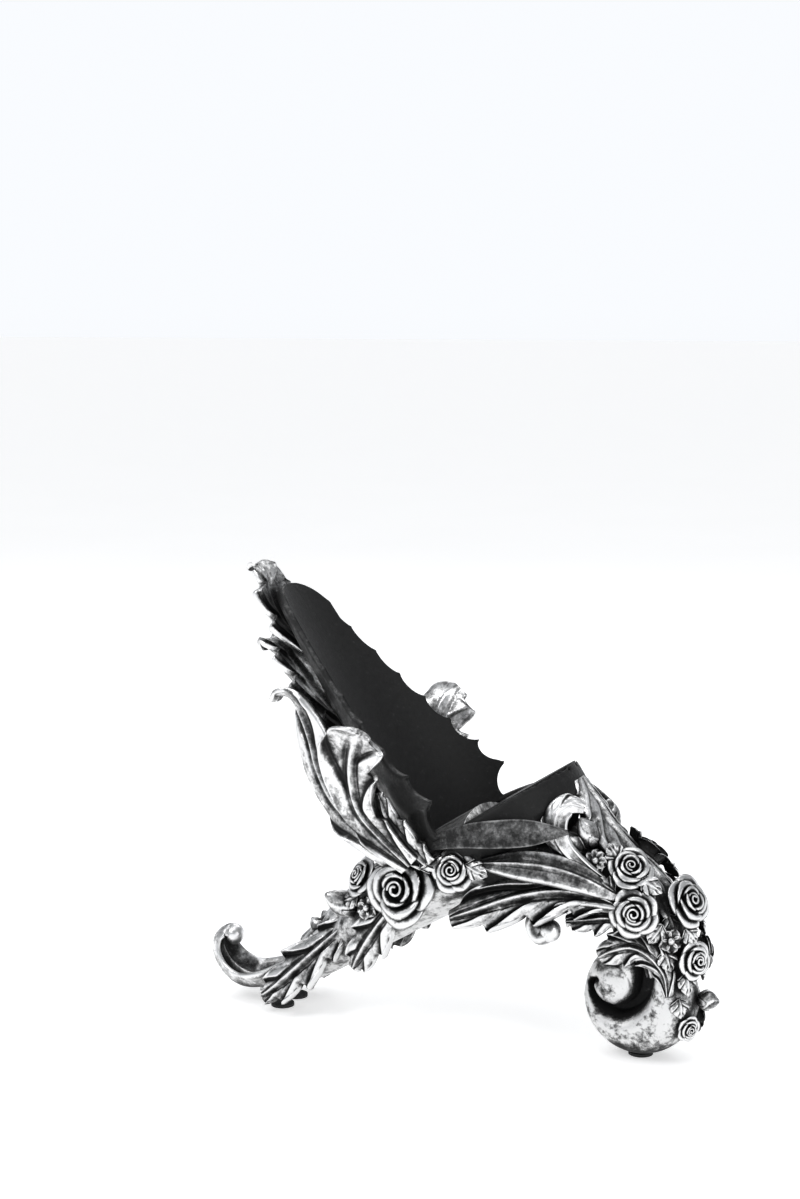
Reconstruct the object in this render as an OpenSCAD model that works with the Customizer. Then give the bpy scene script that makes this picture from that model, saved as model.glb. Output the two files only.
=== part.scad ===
// Tabletop wine rack for one bottle: a leaning cradle on an arch, cast in resin. The arch
// has a volute foot in front and a leaf foot behind, and is dressed with leaves and roses.
// +X is the front, where the volute stands. +Z is up. Z = 0 is the table.
// "right" pieces lie at -Y; "left" pieces are their mirror images.

/* [Bottle] */
// Diameter of the bottle that the cradle holds
bottle_d = 82; // [76:1:84]
// Radial room between the bottle and the cradle wall
bottle_gap = 0.6; // [0.3:0.1:1.5]
// Lean of the bottle from the vertical, towards the back
lean = 32.6; // [31:0.2:34]

/* [Seat and cradle] */
// Height of the centre of the bottle's base above the table
seat_z = 101.2; // [100:0.1:103]
// Distance of the seat's centre in front of the rack's middle
seat_x = 25.7; // [20:0.1:32]
// Thickness of the seat disc
seat_t = 5; // [4:0.5:6]
// Thickness of the cradle wall behind the bottle
wall_t = 4.5; // [3.5:0.5:6]
// Height of the cradle wall along the bottle
cradle_h = 124; // [110:1:130]

/* [Volute foot] */
// Outer radius of the volute
volute_r = 23.2; // [22:0.2:25]
// Width of the volute from side to side
volute_w = 27; // [24:1:30]
// Radius of the recess on each side of the volute
recess_r = 12.6; // [11:0.2:13]
// Radius of the ball at the end of the scroll
eye_r = 6.6; // [5:0.2:7]

/* [Ornament] */
// Diameter of the largest rose
rose_d = 26; // [22:1:28]
// Thickness of the leaves
leaf_t = 3.2; // [2.6:0.1:4]

/* [Foot pads] */
// Diameter of a felt foot pad
pad_d = 10; // [8:1:11]
// Thickness of a felt foot pad
pad_t = 1.2; // [0.8:0.1:1.6]

/* [Hidden] */
$fn = 64;

silver = "#b9b9b6";
dark = "#2b2b2b";
felt = "#1a1a1a";
cradle_r = bottle_d / 2 + bottle_gap;
shell_r = cradle_r + wall_t;
volute_x = 56;                        // volute centre, ahead of the seat's centre
volute_z = pad_t + volute_r;
rear_foot = [-103, -6.5, 0];          // centre of the right rear pad, from the seat's centre
leg_fn = 12;                          // sides of a swept leg
room_fn = 48;                         // sides of the space kept for the bottle and its wall
seat_r = cradle_r - 12.6;
hub_t = 11;                           // depth of the hub's upright rim under the seat
hub_rim = 1;                          // rim of the hub round the seat disc
hub_back = 9;                         // how far the hub reaches back under the cradle wall
hub_fn = 28;
volute_edge = 9;                      // rounding of the volute's rim
recess_depth = 10.5;
rose_rise = 0.3;                      // height of a rose as a share of its diameter

// ---------- curves ----------
function unit(v) = v / norm(v);
// Smooth curve through a list of numbers or points, t from 0 to 1.
function at(p, t) =
    let (n = len(p) - 1, k = max(0, min(floor(t * n), n - 1)), u = t * n - k,
         a = p[max(k - 1, 0)], b = p[k], c = p[k + 1], d = p[min(k + 2, n)])
    0.5 * (2 * b + (c - a) * u + (2 * a - 5 * b + 4 * c - d) * u * u
           + (3 * b - a - 3 * c + d) * u * u * u);
function slope(p, t) = unit(at(p, min(t + 0.01, 1)) - at(p, max(t - 0.01, 0)));
// A point given as angle round the bottle from its underside, radius, and height along it.
function round_bottle(q) =
    let (u = -q[1] * cos(q[0]), v = -q[1] * sin(q[0]))
    [u * cos(lean) - q[2] * sin(lean), v, seat_z + u * sin(lean) + q[2] * cos(lean)];
// The direction round the bottle at that angle.
function round_way(angle) =
    [sin(angle) * cos(lean), -cos(angle), sin(angle) * sin(lean)];
// The direction straight out from the bottle at that angle.
function out_way(angle) =
    [-cos(angle) * cos(lean), -sin(angle), -cos(angle) * sin(lean)];

// ---------- solids from curves ----------
// Closed skin over rings of points, every ring with the same count.
module skin(rings) {
    m = len(rings[0]);
    n = len(rings);
    even = [for (j = [1:m]) 1 / m];
    first = even * rings[0];
    last = even * rings[n - 1];
    points = concat([for (r = rings) each r], [first, last]);
    walls = [for (i = [0:n - 2], j = [0:m - 1], half = [0, 1])
        let (a = i * m + j, b = i * m + (j + 1) % m, c = a + m, d = b + m)
        half == 0 ? [a, c, b] : [b, c, d]];
    caps = [for (j = [0:m - 1]) each [[n * m, j, (j + 1) % m],
        [n * m + 1, (n - 1) * m + (j + 1) % m, (n - 1) * m + j]]];
    polyhedron(points = points, faces = concat(walls, caps), convexity = 6);
}
// A limb: oval rings along path, half sizes across (in the path's plane) and along side.
module limb(path, side, across, wide, steps = 12, fn = leg_fn) {
    skin([for (i = [0:steps])
        let (t = i / steps, c = at(path, t), d = slope(path, t), s0 = at(side, t),
             s = unit(s0 - (s0 * d) * d), n = cross(s, d))
        [for (j = [0:fn - 1]) let (g = 360 * j / fn)
            above(c + n * at(across, t) * cos(g) + s * at(wide, t) * sin(g))]]);
}
// Nothing reaches below the top of the foot pads.
function above(p) = [p[0], p[1], max(p[2], pad_t)];
// A leaf: a curved blade along path, half widths in half, lobed edges, edges turned by cup.
module leaf(path, side, half, cup = 0.25, lobes = 4, steps = 14, thick = leaf_t) {
    cols = [-1, -0.5, 0, 0.5, 1];
    skin([for (i = [0:steps])
        let (t = i / steps, c = at(path, t), d = slope(path, t), s0 = at(side, t),
             s = unit(s0 - (s0 * d) * d), n = cross(s, d),
             h = max(at(half, t) * (0.86 + 0.14 * cos(360 * lobes * t)), 0.8),
             e = thick * (0.55 + 0.45 * sin(180 * min(t + 0.15, 1))))
        concat(
            [for (q = cols) above(c + s * h * q + n * (e / 2 * (1.25 - 0.5 * q * q) - cup * h * q * q))],
            [for (k = [len(cols) - 1:-1:0]) let (q = cols[k])
                above(c + s * h * q - n * (e / 2 * (1.25 - 0.5 * q * q) + cup * h * q * q))])]);
}
// A rose: petals as round ridges on a bowl.
module rose(d, h) {
    r = d / 2;
    rotate_extrude($fn = 17)
        polygon([[0, -h], [0.55 * r, -h], [r, -0.15 * h], [0.98 * r, 0.3 * h], [0.86 * r, 0.42 * h],
                 [0.76 * r, 0.22 * h], [0.66 * r, 0.72 * h], [0.52 * r, 0.5 * h],
                 [0.4 * r, 0.95 * h], [0.26 * r, 0.7 * h], [0.14 * r, h], [0, h]]);
}
// A five-petalled blossom with a round centre.
module blossom(d) {
    for (i = [0:4])
        rotate(72 * i) translate([0.3 * d, 0, -0.1 * d])
            cylinder(h = 0.28 * d, r = 0.19 * d, $fn = 8);
    translate([0, 0, -0.3 * d]) cylinder(h = 0.55 * d, r = 0.2 * d, $fn = 10);
}
// A closed bud with a pointed end.
module bud(d, l) {
    rotate_extrude($fn = 16)
        polygon([[0, -0.2 * l], [0.28 * d, -0.2 * l], [0.46 * d, 0.05 * l], [0.5 * d, 0.25 * l],
                 [0.42 * d, 0.55 * l], [0.24 * d, 0.85 * l], [0, l]]);
}
// Puts a piece at p with its +Z turned to n.
module aim(p, n) {
    translate(p) rotate([0, acos(n[2] / norm(n)), atan2(n[1], n[0])]) children();
}
// The bottle's own frame: Z along the bottle, origin at the centre of its base.
module bottle_frame() {
    translate([0, 0, seat_z]) rotate([0, -lean, 0]) children();
}
// From the seat's centre to the rack's own origin.
module rack() {
    translate([seat_x, 0, 0]) children();
}
// Mirror image on the left side.
module left() {
    mirror([0, 1, 0]) children();
}
// A piece as one mesh, cut where it sits on the pieces that follow it.
module seated() {
    resize([0, 0, 0]) difference() {
        children(0);
        children([1:$children - 1]);
    }
}

// ---------- structure ----------
module seat_body() {
    bottle_frame() translate([0, 0, -seat_t]) cylinder(h = seat_t, r = seat_r);
}
// Block under the seat that joins the two legs to the cradle.
module hub_body() {
    hull() {
        bottle_frame() translate([0, 0, -hub_t]) cylinder(h = hub_t, r = seat_r + hub_rim, $fn = hub_fn);
        bottle_frame() translate([-hub_back, 0, -hub_t])
            cylinder(h = hub_t, r = shell_r - hub_back, $fn = hub_fn);
        translate([-10, 0, 71]) scale([1.25, 1.1, 0.5]) sphere(r = 24, $fn = 20);
    }
}
// The cradle wall, cut to a tapering outline: u sideways, w along the bottle.
module shell_body() {
    top = [for (i = [-6:6]) [0.46 * shell_r * sin(15 * i), cradle_h - 22 + 22 * cos(15 * i)]];
    sides = [[0.9 * shell_r, 0], [0.97 * shell_r, 16], [0.8 * shell_r, 50]];
    outline = concat(sides, [for (i = [12:-1:0]) top[i]], [for (i = [2:-1:0]) [-sides[i][0], sides[i][1]]]);
    bottle_frame() intersection() {
        difference() {
            cylinder(h = cradle_h, r = shell_r);
            translate([0, 0, -1]) cylinder(h = cradle_h + 2, r = cradle_r);
        }
        rotate([90, 0, -90]) linear_extrude(height = 2 * shell_r) polygon(outline);
    }
}
// Where the bottle, the cradle wall and the seat disc are.
module bottle_room() {
    bottle_frame() {
        cylinder(h = 200, r = shell_r / cos(180 / room_fn), $fn = room_fn);
        translate([0, 0, -seat_t]) cylinder(h = seat_t + 1, r = seat_r / cos(180 / room_fn), $fn = room_fn);
    }
}
module volute_body() {
    core = volute_r - volute_edge;
    flat = volute_w / 2 - volute_edge;
    translate([volute_x, 0, volute_z]) rotate([90, 0, 0]) rotate_extrude($fn = 48)
        polygon(concat([[0, -volute_w / 2]],
            [for (a = [-90:15:90])
                [core + volute_edge * cos(a), (a < 0 ? -flat : flat) + volute_edge * sin(a)]],
            [[0, volute_w / 2]]));
}
// The volute: a rounded wheel with a deep recess on each side and a ball in it.
module volute() {
    floor_y = volute_w / 2 - recess_depth;
    difference() {
        volute_body();
        for (s = [-1, 1])
            translate([volute_x - 6.5, s * floor_y, volute_z]) rotate([-90 * s, 0, 0])
                cylinder(h = recess_depth + 1, r = recess_r);
    }
    for (s = [-1, 1]) translate([volute_x - 9, s * (floor_y + eye_r * 0.6), volute_z]) sphere(r = eye_r);
}
front_path = [[7, 0, 79], [24, 0, 78.5], [41, 0, 72.5], [54, 0, 62], [63.5, 0, 49.5], [67, 0, 35]];
front_across = [15, 13.5, 12.5, 11.5, 10.5, 10.5];
front_wide = [25, 21, 17.5, 15.5, 13.5, 12.5];
module front_leg_body() {
    limb(front_path, [[0, 1, 0], [0, 1, 0]], front_across, front_wide, 12, 14);
}
rear_path = [[-6, 0, 80], [-28, 0, 67], [-50, 0, 52], [-72, 0, 34.5], [-90, 0, 20.5], [-107, 0, 8.6]];
rear_across = [18.6, 17.6, 15.4, 11.5, 9.5, 10];
rear_wide = [32, 29, 22, 15, 12.5, 12];
module rear_leg_body() {
    limb(rear_path, [[0, 1, 0], [0, 1, 0]], rear_across, rear_wide, 12, 16);
}
// Everything that the ornament is carried by.
module cores() {
    hub_body();
    front_leg_body();
    rear_leg_body();
    volute_body();
    bottle_room();
    foot_pads();
}

module seat_disc() {
    color(dark) seat_body();
}
module hub() {
    color(dark) seated() {
        hub_body();
        bottle_room();
    }
}
module cradle_shell() {
    color(dark) shell_body();
}
module front_leg() {
    color(silver) seated() {
        front_leg_body();
        hub_body();
        bottle_room();
        volute_body();
    }
}
module front_volute() {
    color(silver) volute();
}
module rear_leg() {
    color(silver) seated() {
        rear_leg_body();
        hub_body();
        bottle_room();
    }
}
module foot_pads() {
    color(felt) {
        translate([volute_x, 0, 0]) cylinder(h = pad_t, d = pad_d);
        translate(rear_foot) cylinder(h = pad_t, d = pad_d);
        left() translate(rear_foot) cylinder(h = pad_t, d = pad_d);
    }
}

// ---------- leaves ----------
// A leaf laid round the bottle: turns is a list of [angle, radius, height along the bottle].
module bottle_leaf(turns, half, cup, lobes, steps = 14) {
    leaf([for (q = turns) round_bottle(q)], [for (q = turns) round_way(q[0])], half, cup, lobes, steps);
}
module crown_leaf() {
    bottle_leaf([[0, 49, 94], [0, 52, 107], [0, 53, 119], [0, 50.5, 129], [0, 49, 134], [0, 50.5, 138],
        [0, 54, 137.5]], [10, 16, 17, 14, 10, 7, 3], 0.2, 3, 16);
}
module back_leaf() {
    bottle_leaf([[0, 46, 40], [0, 51, 58], [0, 56, 76], [0, 58, 91], [0, 59.5, 101], [0, 63, 108],
        [0, 66, 105]],
        [12, 19, 20, 18, 14, 10, 4], 0.2, 4, 18);
}
module tail_leaf() {
    bottle_leaf([[0, 44, -4], [0, 49, 9], [0, 52, 25], [0, 54, 42], [0, 58, 53], [0, 63, 58], [0, 66, 54]],
        [12, 18, 21, 19, 14, 9, 4], 0.2, 4, 18);
}
module rear_leaf() {
    path = [[-34, -33, 78], [-54, -30, 89], [-67, -26, 98], [-75.5, -23, 110], [-80, -21, 122],
            [-84.5, -20, 132], [-90, -20, 139], [-95.5, -20, 140], [-98, -20, 137]];
    leaf(path, [[0.7, -0.1, 0.7], [0.7, -0.2, 0.5], [0.7, -0.3, 0.5], [0.3, -0.8, 0.3], [0, -1, 0]],
        [7, 9.5, 10, 10, 9, 8, 6.5, 5, 2.5], 0.2, 3, 18);
}
module side_leaf() {
    path = [[-28, -40, 79], [-40, -42, 90], [-49.5, -43.5, 102], [-51.5, -44, 114], [-49.5, -45, 123.5],
            [-46.5, -48.5, 128.5], [-44.5, -52, 127], [-44, -53.5, 123]];
    side = [[0.8, -0.1, 0.6], [0.95, -0.1, 0.3], [1, 0, 0]];
    leaf(path, side, [5, 7, 8.5, 11.5, 12.5, 11.5, 9, 5], 0.15, 3, 18);
}
module side_lobe() {
    path = [[-22, -37, 79], [-30, -40, 88], [-37, -42, 98], [-41, -42.5, 107.5]];
    leaf(path, [[0.8, -0.3, 0.5], [0.8, -0.3, 0.5]], [5, 8, 6.5, 2.5], 0.1, 2, 8);
}
// Stippled band at the side of the seat.
module collar() {
    path = [[-22, -36, 87], [-6, -39.5, 92.5], [8, -39.5, 95], [21, -35.5, 96], [33, -27, 95.5]];
    leaf(path, [for (p = path) [0, 0.25, 1]], [2.5, 4.5, 5.5, 5, 3], 0.1, 0, 10, 4);
}
// Ribbed leaf down the front of the leg, from the lip of the seat.
module spine_leaf() {
    path = [[29, 0, 112], [34, 0, 103], [41, 0, 92], [50, 0, 82.5], [60, 0, 74], [69, 0, 63]];
    leaf(path, [[0, 1, 0], [0, 1, 0]], [5, 9, 11, 11, 10, 6], 0.3, 3);
}
module lip_leaf() {
    path = [[41, -15.5, 78], [34, -18.4, 82.5], [26.5, -20.5, 89], [23, -21, 95.5], [24.5, -20, 101.5],
            [29.5, -18, 105.5], [35.5, -15.5, 104.5]];
    leaf(path, [[0.3, -0.9, 0.15], [0.3, -0.9, 0.15]], [3, 6, 7.5, 8, 7.5, 6, 3], 0.2, 2, 14);
}
// Long rib from the medium rose to the knee, above the arch leaf.
module reed() {
    path = [[0, -35, 81], [13, -33, 82], [27, -28, 80.5], [39, -22.5, 76], [50, -17, 69.5]];
    leaf(path, [for (p = path) [0.1, 0.6, 1]], [2, 5.5, 6.5, 5.5, 2.5], 0.35, 1, 12, 4);
}
// Long leaf sweeping back along the arch.
module arch_leaf() {
    path = [[51, -15.5, 64], [41, -18.5, 68.6], [26, -22, 69.5], [11, -26, 66], [-3, -29, 60.5],
            [-15, -30, 55.5]];
    leaf(path, [for (p = path) [0.1, 0.5, 1]], [4, 9, 12.5, 12, 9.5, 4], 0.3, 4, 16, 4);
}
// Small curl that hangs under the arch.
module arch_curl() {
    path = [[50, -16.5, 64.5], [41, -18.5, 65.5], [29, -20, 64.5], [20.5, -20.5, 60.5], [17.5, -20.5, 55],
            [20, -20.5, 51], [24, -20.5, 52.5]];
    across = [2.4, 2.8, 3, 3.4, 3.8, 4.2, 4.2];
    wide = [3, 3.6, 4, 4.4, 4.8, 5, 4.6];
    limb(path, [[0.1, 1, 0], [0.1, 1, 0]], across, wide, 12, 8);
}
// Lobes where the leg turns into the volute.
module knee_leaf() {
    path = [[70.5, -12.5, 30], [69, -13, 39], [63, -14, 46], [56, -14.5, 48.5], [48, -14.5, 46],
            [42.5, -14, 42.5]];
    side = [[1, 0, 0.1], [0.8, 0.05, 0.5], [0, 0.1, 1], [-0.5, 0.1, 0.9]];
    leaf(path, side, [2.5, 4.5, 6.5, 7.5, 7, 3], 0.2, 2, 12);
}
// Lobes between the knee rose and the curl under the arch.
module knee_lobe() {
    path = [[55, -15.5, 60], [46, -17.5, 60], [38, -18.5, 58.5], [30, -18.5, 57]];
    leaf(path, [for (p = path) [0.2, 0.3, 1]], [4, 7, 6.5, 2.5], 0.2, 2, 10);
}
// The end of the rear leg, a leaf that rises from the table and curls over.
module toe_leaf() {
    path = [[-84, 0, 26], [-98, 0, 16], [-110, 0, 9.2], [-122, 0, 7], [-131.5, 0, 11], [-137, 0, 19],
            [-136.5, 0, 26], [-132, 0, 29.5], [-128, 0, 27]];
    leaf(path, [[0, 1, 0], [0, 1, 0]], [7.5, 11, 13.5, 12.5, 11, 9, 7.5, 6, 4], -0.3, 3, 20, 4);
}
// Wing of the foot, from the leg's crest down to the table.
module foot_leaf() {
    path = [[-68, -10, 43], [-79, -14.5, 32], [-90, -17.5, 21], [-100, -18, 12], [-107.5, -16, 6.5]];
    leaf(path, [for (p = path) [0.55, -0.35, -0.75]], [5, 9, 11, 8.5, 4], 0.2, 3, 12, 4);
}
// Lobed leaf down the side of the rear leg.
module skirt_leaf() {
    path = [[-40, -22, 60], [-47, -23.5, 50], [-54, -22.5, 40], [-60, -20, 31], [-64, -17, 25]];
    leaf(path, [for (p = path) [0.8, -0.1, -0.5]], [5, 9, 10, 8, 3], 0.2, 2, 10, 4);
}

// ---------- flowers ----------
// Each rose: place from the seat's centre, direction it faces, share of rose_d.
roses = [
    ["large_rose", [-34.5, -31.5, 66], [-0.15, -1, 0.2], 1],
    ["medium_rose", [-11, -35.5, 77.5], [0.02, -1, 0.25], 0.66],
    ["outer_rose", [-57.5, -20, 65], [-0.6, -0.65, 0.5], 0.66],
    ["top_rose", [54, -12.5, 79], [0.4, -0.7, 0.75], 0.62],
    ["knee_rose", [57.5, -15.5, 63], [0.2, -1, 0.15], 0.74],
    ["front_rose_upper", [73, 0, 65.5], [0.9, 0, 0.5], 0.68],
    ["front_rose_lower", [78.5, -6.5, 44], [0.85, -0.5, 0.1], 0.58]
];
rose_names = [for (r = roses) r[0]];
module rose_called(name) {
    for (r = roses)
        if (r[0] == name) aim(r[1], r[2]) rose(rose_d * r[3], rose_d * r[3] * rose_rise);
}
// Blossoms, buds and sprigs of the right side: place, direction, size.
side_blossoms = [[[-54, -24.5, 54], [-0.3, -1, 0.3], 9], [[71, -12.5, 52.5], [0.75, -0.8, 0.1], 9.5],
                 [[41, -16, 82], [0.1, -0.9, 0.5], 10], [[-86, -12, 31.5], [-0.4, -0.6, 0.7], 7.5]];
side_buds = [[[-66, -15.5, 50.5], [-0.6, -0.6, 0.5], 11, 13], [[-85, -4.2, 35], [-0.6, -0.2, 0.75], 6.5, 7],
             [[38, -12.5, 90], [-0.25, -0.5, 0.85], 9, 11], [[33.5, -15.5, 87], [-0.5, -0.6, 0.6], 8, 10]];
low_buds = [[[81, 0, 26], [1, 0, 0], 8, 7], [[77, -6, 16], [0.9, -0.3, -0.2], 8, 6],
            [[77, 6, 16], [0.9, 0.3, -0.2], 8, 6]];
side_sprigs = [[[-21, -34.5, 80], [8, 3, 4]], [[-1, -35.5, 79], [8, 2, -3]], [[66, -13.5, 55.5], [-4, -1, -7]],
               [[77.5, -9.5, 35], [3, -1, -8]]];
module side_flowers() {
    for (s = side_blossoms)
        aim(s[0], s[1]) blossom(s[2]);
}
module bud_list(list) {
    for (b = list)
        aim(b[0], b[1]) bud(b[2], b[3]);
}
module sprigs() {
    for (s = side_sprigs)
        leaf([s[0] - s[1] / 2, s[0], s[0] + s[1] / 2], [[0, 0.4, 1], [0, 0.4, 1]],
            [1, 3.4, 0.8], 0.2, 0, 6, 2.4);
}

// ---------- fitting ----------
// Ornament in order of rank: each piece gives way to the ones before it.
RANK = concat(rose_names, ["blossoms", "buds", "front_buds", "spine_leaf", "lip_leaf", "knee_leaf",
    "knee_lobe", "arch_curl", "reed", "arch_leaf", "collar", "side_lobe", "side_leaf", "rear_leaf",
    "crown_leaf", "back_leaf",
    "tail_leaf", "toe_leaf", "foot_leaf", "skirt_leaf", "rose_leaves"]);
module shape(name) {
    rose_called(name);
    if (name == "blossoms") side_flowers();
    if (name == "buds") bud_list(side_buds);
    if (name == "front_buds") bud_list(low_buds);
    if (name == "spine_leaf") spine_leaf();
    if (name == "lip_leaf") lip_leaf();
    if (name == "knee_leaf") knee_leaf();
    if (name == "knee_lobe") knee_lobe();
    if (name == "arch_curl") arch_curl();
    if (name == "reed") reed();
    if (name == "arch_leaf") arch_leaf();
    if (name == "collar") collar();
    if (name == "side_lobe") side_lobe();
    if (name == "side_leaf") side_leaf();
    if (name == "rear_leaf") rear_leaf();
    if (name == "crown_leaf") crown_leaf();
    if (name == "back_leaf") back_leaf();
    if (name == "tail_leaf") tail_leaf();
    if (name == "toe_leaf") toe_leaf();
    if (name == "skirt_leaf") skirt_leaf();
    if (name == "foot_leaf") foot_leaf();
    if (name == "rose_leaves") sprigs();
}
function rank(name) = search([name], RANK)[0];
// One piece of ornament, with both sides' pieces of a lower rank number taken out of it.
module ornament(name, both = false) {
    color(silver) seated() {
        union() {
            shape(name);
            if (both) left() shape(name);
        }
        cores();
        for (k = [0:1:rank(name) - 1]) {
            shape(RANK[k]);
            left() shape(RANK[k]);
        }
    }
}

rack() {
    seat_disc();
    hub();
    cradle_shell();
    front_leg();
    front_volute();
    rear_leg();
    foot_pads();
    ornament("crown_leaf");  // crown_leaf
    ornament("back_leaf");  // back_leaf
    ornament("tail_leaf");  // tail_leaf
    ornament("spine_leaf");  // spine_leaf
    ornament("toe_leaf");  // toe_leaf
    ornament("front_rose_upper");  // front_rose_upper
    ornament("front_rose_lower");  // front_rose_lower_right
    left() ornament("front_rose_lower");  // front_rose_lower_left
    ornament("front_buds");  // front_buds
    ornament("blossoms", both = true);  // blossoms
    ornament("rear_leaf");  // rear_leaf_right
    left() ornament("rear_leaf");  // rear_leaf_left
    ornament("side_leaf");  // side_leaf_right
    left() ornament("side_leaf");  // side_leaf_left
    ornament("side_lobe");  // side_lobe_right
    left() ornament("side_lobe");  // side_lobe_left
    ornament("collar");  // collar_right
    left() ornament("collar");  // collar_left
    ornament("lip_leaf");  // lip_leaf_right
    left() ornament("lip_leaf");  // lip_leaf_left
    ornament("reed");  // reed_right
    left() ornament("reed");  // reed_left
    ornament("arch_leaf");  // arch_leaf_right
    left() ornament("arch_leaf");  // arch_leaf_left
    ornament("arch_curl");  // arch_curl_right
    left() ornament("arch_curl");  // arch_curl_left
    ornament("knee_leaf");  // knee_leaf_right
    left() ornament("knee_leaf");  // knee_leaf_left
    ornament("knee_lobe");  // knee_lobe_right
    left() ornament("knee_lobe");  // knee_lobe_left
    ornament("foot_leaf");  // foot_leaf_right
    left() ornament("foot_leaf");  // foot_leaf_left
    ornament("skirt_leaf");  // skirt_leaf_right
    left() ornament("skirt_leaf");  // skirt_leaf_left
    ornament("large_rose");  // large_rose_right
    left() ornament("large_rose");  // large_rose_left
    ornament("medium_rose");  // medium_rose_right
    left() ornament("medium_rose");  // medium_rose_left
    ornament("outer_rose");  // outer_rose_right
    left() ornament("outer_rose");  // outer_rose_left
    ornament("top_rose");  // top_rose_right
    left() ornament("top_rose");  // top_rose_left
    ornament("knee_rose");  // knee_rose_right
    left() ornament("knee_rose");  // knee_rose_left
    ornament("buds");  // buds_right
    left() ornament("buds");  // buds_left
    ornament("rose_leaves");  // rose_leaves_right
    left() ornament("rose_leaves");  // rose_leaves_left
}
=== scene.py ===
import math

import bpy
import numpy as np
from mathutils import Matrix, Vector


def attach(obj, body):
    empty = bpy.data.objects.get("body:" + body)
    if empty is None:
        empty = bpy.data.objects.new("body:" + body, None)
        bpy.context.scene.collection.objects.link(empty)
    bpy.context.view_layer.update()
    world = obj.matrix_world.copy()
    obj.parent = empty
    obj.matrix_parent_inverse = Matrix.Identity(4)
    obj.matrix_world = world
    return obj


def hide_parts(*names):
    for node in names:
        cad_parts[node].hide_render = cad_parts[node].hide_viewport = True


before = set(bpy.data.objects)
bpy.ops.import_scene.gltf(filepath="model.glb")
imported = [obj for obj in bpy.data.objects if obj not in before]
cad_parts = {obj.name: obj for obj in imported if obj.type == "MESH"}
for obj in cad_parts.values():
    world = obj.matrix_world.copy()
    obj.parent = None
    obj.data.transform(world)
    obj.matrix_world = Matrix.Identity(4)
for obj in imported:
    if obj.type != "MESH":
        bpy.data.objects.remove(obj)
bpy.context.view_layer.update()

# Sizes are in millimetres from the seat's centre line and the table. piece() turns them into
# metres in the rack's frame. Pieces are made for the right side (-Y) and mirrored for the left.
MM = 0.001
SEAT_X = 25.7        # the seat's centre ahead of the rack's middle
SEAT_Z = 101.2       # height of the middle of the bottle's base
LEAN = math.radians(32.6)
TABLE_Z = 1.25       # nothing but the pads goes lower
PI2 = 2 * math.pi
SLOPE_STEP = 0.01    # step along a curve from which its direction is taken


# ---------- curves ----------
def spline(points, t):
    """Smooth curve through a list of numbers or points, t from 0 to 1."""
    p = np.asarray(points, float)
    if p.ndim == 1:
        p = p[:, None]
    n = len(p) - 1
    t = np.clip(np.asarray(t, float), 0, 1)
    k = np.clip(np.floor(t * n).astype(int), 0, n - 1)
    u = (t * n - k)[:, None]
    a, b = p[np.maximum(k - 1, 0)], p[k]
    c, d = p[k + 1], p[np.minimum(k + 2, n)]
    square = 2 * a - 5 * b + 4 * c - d
    cube = 3 * b - a - 3 * c + d
    return 0.5 * (2 * b + (c - a) * u + square * u * u + cube * u ** 3)


def unit(v):
    v = np.asarray(v, float)
    return v / np.maximum(np.linalg.norm(v, axis=-1, keepdims=True), 1e-9)


def bump(x, centre, width):
    """A soft hump, 1 at the centre."""
    return np.exp(-(((x - centre) / width) ** 2))


def smooth(x, a, b):
    """A soft step from 0 at a to 1 at b."""
    t = np.clip((x - a) / (b - a), 0, 1)
    return t * t * (3 - 2 * t)


def frames(path, side, t):
    """Centre, sideways direction and outward direction along a path."""
    c = spline(path, t)
    ahead, behind = np.minimum(t + SLOPE_STEP, 1), np.maximum(t - SLOPE_STEP, 0)
    d = unit(spline(path, ahead) - spline(path, behind))
    s0 = spline(side, t)
    s = unit(s0 - (s0 * d).sum(1)[:, None] * d)
    return c, s, np.cross(s, d)


def round_bottle(angle, r, w):
    """A point round the bottle: angle from its underside in degrees, radius, height along it."""
    g = np.radians(angle)
    u, v = -r * np.cos(g), -r * np.sin(g)
    x = u * math.cos(LEAN) - w * math.sin(LEAN)
    z = SEAT_Z + u * math.sin(LEAN) + w * math.cos(LEAN)
    return np.stack([x, v, z], -1)


def polar(r, g, z):
    return np.stack([r * np.cos(g), r * np.sin(g), z], -1)


# ---------- meshes ----------
# A part is (points, faces, wear of each point, material index of each face).
def closed_grid(top, bottom, wear_top, wear_bottom):
    """A closed sheet between two grids of points, with a wear value for each point."""
    n, m = top.shape[:2]
    v = np.concatenate([top.reshape(-1, 3), bottom.reshape(-1, 3)])
    wear = np.concatenate([np.broadcast_to(x, (n, m)).ravel() for x in (wear_top, wear_bottom)])
    i, j = np.meshgrid(np.arange(n - 1), np.arange(m - 1), indexing="ij")
    a = (i * m + j).ravel()
    up = np.stack([a, a + 1, a + m + 1, a + m], 1)
    k = n * m
    down = np.stack([a + k, a + m + k, a + m + 1 + k, a + 1 + k], 1)
    edge = []
    last_column, last_row = m - 1, (n - 1) * m
    for x in range(n - 1):
        here, ahead = x * m, (x + 1) * m
        edge.append([here, ahead, ahead + k, here + k])
        here, ahead = here + last_column, ahead + last_column
        edge.append([ahead, here, here + k, ahead + k])
    for y in range(m - 1):
        edge.append([y + 1, y, y + k, y + 1 + k])
        here = last_row + y
        edge.append([here, here + 1, here + 1 + k, here + k])
    index = np.zeros(len(up) * 2 + len(edge), int)
    index[len(up):2 * len(up)] = 1
    return v, np.concatenate([up, down, np.array(edge)]), wear, index


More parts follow.
